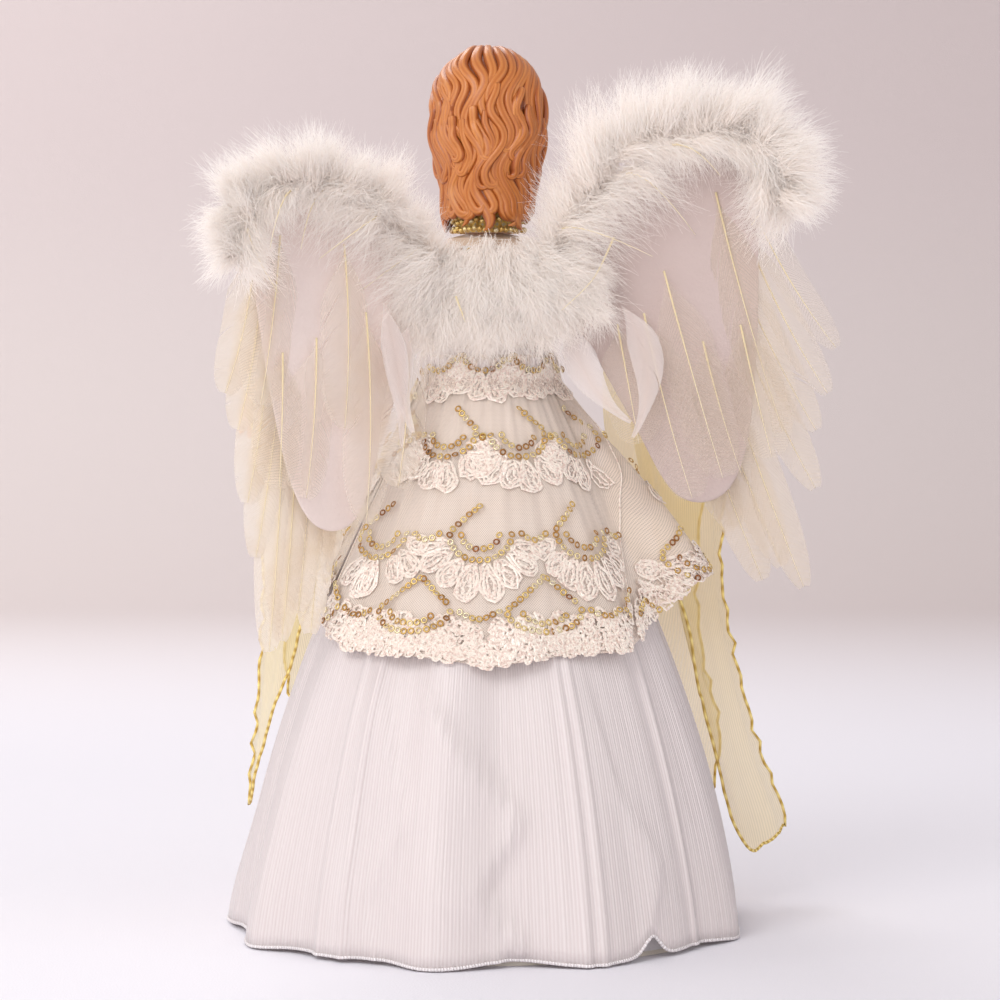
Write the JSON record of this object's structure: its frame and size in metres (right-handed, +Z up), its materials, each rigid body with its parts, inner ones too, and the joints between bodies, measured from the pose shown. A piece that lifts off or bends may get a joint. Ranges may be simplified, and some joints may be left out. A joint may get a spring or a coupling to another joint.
{
  "type": "angel tree topper",
  "caption": "Angel doll on a hollow cone that slips over a tree tip, with turning head, folding feathered wings and lifting arms in long sleeves.",
  "frame": {"origin": "on the cone's axis, in the plane of its base rim, where the tree tip enters", "axes": "+Z up along the cone's axis, -Y towards the doll's front, +X towards the doll's left"},
  "size_m": [0.2854, 0.2444, 0.3977],
  "materials": {
    "card_plastic": "matte",
    "lining": "plain weave",
    "satin": "satin",
    "lace": "embroidered net",
    "torso_plastic": "matte",
    "gold_trim": "metallic thread",
    "marabou": "downy",
    "painted_skin": "painted",
    "painted_hair": "painted",
    "organza": "sheer",
    "wire": "drawn",
    "felt": "felted",
    "feather": "natural"
  },
  "bodies": {
    "dress_body": {"inner_cone": "card_plastic", "skirt_lining": "lining", "skirt": "satin", "tunic_back_panel": "lace", "tunic_front_panel": "lace", "torso": "torso_plastic", "bodice": "lace", "neck_post": "torso_plastic", "collar": "gold_trim", "wing_yoke": "torso_plastic", "back_marabou": "marabou"},
    "head_unit": {"head": "painted_skin", "hair": "painted_hair"},
    "left_arm_unit": {"left_arm": "painted_skin", "left_hand": "painted_skin", "left_sleeve": "organza"},
    "left_wing": {"left_wing_wire": "wire", "left_wing_panel": "felt", "left_wing_marabou": "marabou", "left_flight_feather_1": "feather", "left_flight_feather_2": "feather", "left_flight_feather_3": "feather", "left_flight_feather_4": "feather", "left_flight_feather_5": "feather", "left_flight_feather_6": "feather", "left_flight_feather_7": "feather", "left_flight_feather_8": "feather", "left_covert_feather_1": "feather", "left_covert_feather_2": "feather", "left_covert_feather_3": "feather", "left_covert_feather_4": "feather", "left_covert_feather_5": "feather", "left_covert_feather_6": "feather"},
    "right_arm_unit": {"right_arm": "painted_skin", "right_hand": "painted_skin", "right_sleeve": "organza"},
    "right_wing": {"right_wing_wire": "wire", "right_wing_panel": "felt", "right_wing_marabou": "marabou", "right_flight_feather_1": "feather", "right_flight_feather_2": "feather", "right_flight_feather_3": "feather", "right_flight_feather_4": "feather", "right_flight_feather_5": "feather", "right_flight_feather_6": "feather", "right_flight_feather_7": "feather", "right_flight_feather_8": "feather", "right_covert_feather_1": "feather", "right_covert_feather_2": "feather", "right_covert_feather_3": "feather", "right_covert_feather_4": "feather", "right_covert_feather_5": "feather", "right_covert_feather_6": "feather"}
  },
  "joints": [
    {"name": "head_turn", "type": "hinge", "parent": "dress_body", "child": "head_unit", "pos_m": [0, 0, 0.3124], "axis": [0, 0, 1], "range_deg": [-25, 25]},
    {"name": "left_wing_fold", "type": "hinge", "parent": "dress_body", "child": "left_wing", "pos_m": [0.016, 0.02958, 0.2924], "axis": [0, 0, 1], "range_deg": [-14, 6]},
    {"name": "right_wing_fold", "type": "hinge", "parent": "dress_body", "child": "right_wing", "pos_m": [-0.016, 0.02958, 0.2924], "axis": [0, 0, -1], "range_deg": [-4, 30]},
    {"name": "left_arm_raise", "type": "hinge", "parent": "dress_body", "child": "left_arm_unit", "pos_m": [0.03769, 0, 0.2964], "axis": [0, -1, 0], "range_deg": [0, 20]},
    {"name": "right_arm_raise", "type": "hinge", "parent": "dress_body", "child": "right_arm_unit", "pos_m": [-0.03769, 0, 0.2964], "axis": [0, 1, 0], "range_deg": [0, 20]}
  ]
}
